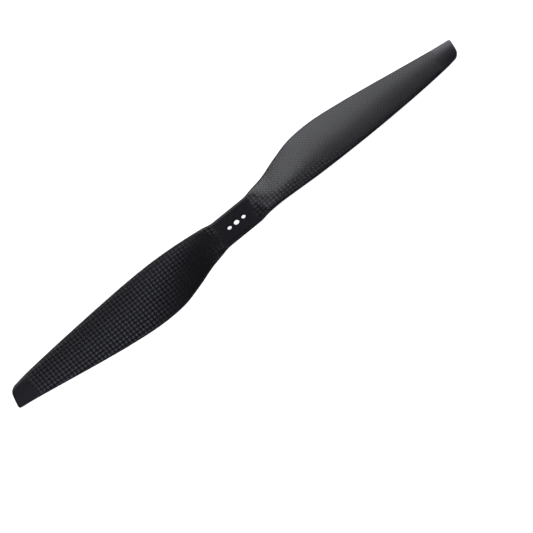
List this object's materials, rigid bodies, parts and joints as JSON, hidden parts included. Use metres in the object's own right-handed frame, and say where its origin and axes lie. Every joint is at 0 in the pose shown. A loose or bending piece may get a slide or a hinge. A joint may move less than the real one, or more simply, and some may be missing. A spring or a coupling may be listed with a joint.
{
  "type": "two-blade propeller",
  "caption": "Fixed-pitch carbon-fibre propeller for a multirotor: slim twisted blades on a flat hub with a centre bore and a straight row of screw holes.",
  "frame": {"origin": "on the spin axis, where the centre bore meets the flat underside of the hub", "axes": "+X along blade A from the hub to its tip, through the row of holes; +Z along the spin axis, the way the thrust acts; blade A's leading edge is on its -Y side"},
  "size_m": [0.3812, 0.0458, 0.0116],
  "materials": {
    "woven_carbon": "clear-coated plain-weave carbon laminate",
    "tip_resin": "polished black epoxy and chopped carbon",
    "straight_carbon": "straight-fibre carbon laminate",
    "hub_laminate": "solid carbon laminate",
    "foam": "closed-cell structural foam"
  },
  "bodies": {
    "root": {"upper_skin": "woven_carbon", "lower_skin": "woven_carbon", "upper_unidirectional_ply": "straight_carbon", "lower_unidirectional_ply": "straight_carbon", "upper_hub_doubler": "hub_laminate", "lower_hub_doubler": "hub_laminate", "hub_block": "hub_laminate", "blade_a_leading_edge_tow": "straight_carbon", "blade_a_foam_core": "foam", "blade_a_trailing_edge_tow": "straight_carbon", "blade_a_tip": "tip_resin", "blade_b_leading_edge_tow": "straight_carbon", "blade_b_foam_core": "foam", "blade_b_trailing_edge_tow": "straight_carbon", "blade_b_tip": "tip_resin"}
  },
  "joints": []
}
